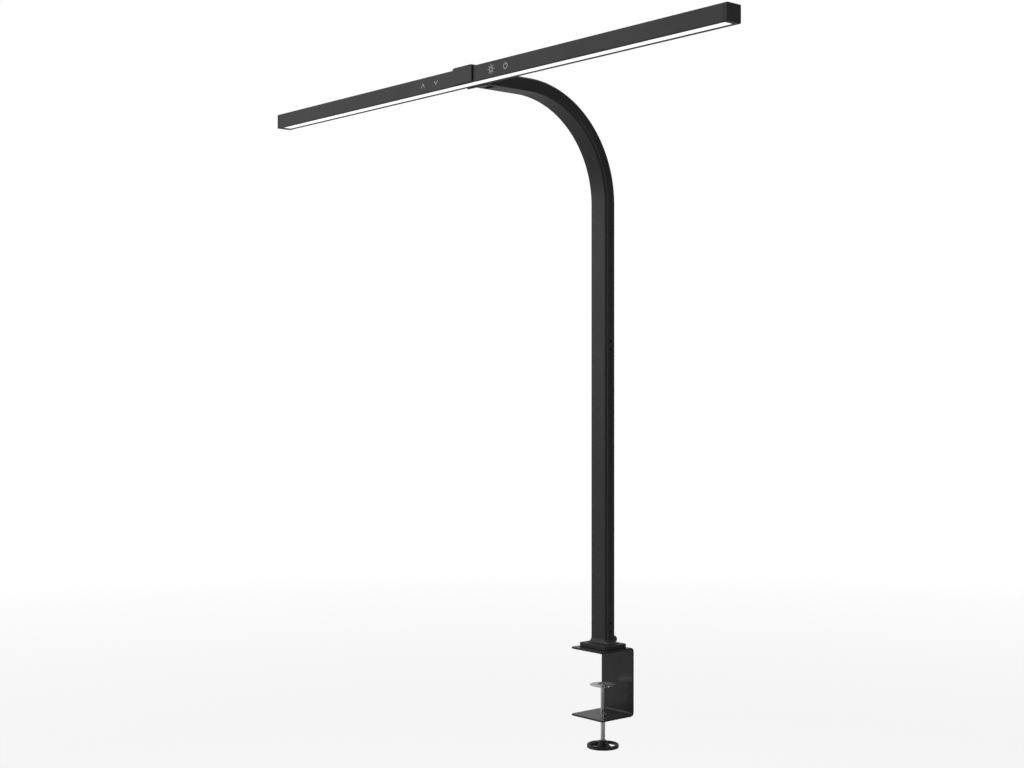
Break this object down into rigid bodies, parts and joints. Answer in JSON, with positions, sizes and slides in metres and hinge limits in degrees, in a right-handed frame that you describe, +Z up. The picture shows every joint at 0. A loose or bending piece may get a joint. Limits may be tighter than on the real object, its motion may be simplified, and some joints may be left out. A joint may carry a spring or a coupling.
{
  "type": "desk-clamp light bar",
  "caption": "Long slim lamp bar carried over a monitor by an arched rectangular mast on a screw clamp, with a tilt hinge behind the bar.",
  "frame": {"origin": "centre of the mast on the face of the clamp's soft pad that rests on the desk top", "axes": "+Z up the mast, X along the light bar, -Y towards the person at the desk"},
  "size_m": [0.8, 0.2501, 0.8143],
  "materials": {
    "black_coat": "fine satin-matte black powder coat",
    "black_anodised": "fine matte black anodised or coated aluminium",
    "chrome": "bright chrome plate",
    "plain_steel": "zinc-plated steel",
    "dark_screws": "black oxide set screws",
    "black_plastic": "black moulded plastic, satin",
    "cap_black": "black moulded plastic, fine grain",
    "soft_pad": "black foamed rubber sheet",
    "wire_jacket": "black vinyl wire jacket",
    "washer_fibre": "natural fibre friction washer",
    "diffuser_white": "opal white acrylic",
    "white_board": "white solder mask over aluminium core",
    "led_yellow": "phosphor-filled silicone",
    "green_board": "green solder mask"
  },
  "bodies": {
    "stand": {"clamp_frame": "black_coat", "clamp_nut": "chrome", "desk_pad": "soft_pad", "base_plinth": "black_coat", "plinth_screws": "plain_steel", "mast_lower": "black_coat", "base_set_screws": "dark_screws", "mast_joiner": "plain_steel", "mast_upper": "black_coat", "mid_set_screws": "dark_screws", "dc_inlet": "black_plastic", "dc_pin": "chrome", "feed_wire": "wire_jacket", "arm_tip": "black_coat", "tip_set_screw": "dark_screws", "hinge_screw": "plain_steel", "hinge_nut": "plain_steel", "friction_washers": "washer_fibre"},
    "pad": {"pressure_pad": "chrome"},
    "screw": {"clamp_screw": "chrome", "pad_retainer": "plain_steel", "clamp_knob": "black_plastic", "knob_nut": "plain_steel"},
    "head": {"hub_bracket": "black_coat", "hub_saddle": "black_coat", "bracket_screws": "plain_steel", "bar_housing": "black_anodised", "diffuser": "diffuser_white", "led_board_left": "white_board", "led_board_right": "white_board", "leds": "led_yellow", "touch_board": "green_board", "control_board": "green_board", "control_parts": "black_plastic", "bar_lead": "wire_jacket", "end_cap_left": "cap_black", "end_cap_right": "cap_black"}
  },
  "joints": [
    {"name": "head_tilt", "type": "hinge", "parent": "stand", "child": "head", "pos_m": [0, -0.188, 0.6818], "axis": [1, 0, 0], "range_deg": [-45, 45]},
    {"name": "clamp_travel", "type": "slide", "parent": "stand", "child": "pad", "axis": [0, 0, 1], "range_m": [-0.033, 0.027]},
    {"name": "screw_turn", "type": "hinge", "parent": "pad", "child": "screw", "pos_m": [0, 0, -0.08], "axis": [0, 0, 1], "range_deg": [-11881, 9721]}
  ],
  "couplings": [
    {"joint": "screw_turn", "follows": "clamp_travel", "rad_per_m": 6283.2}
  ]
}
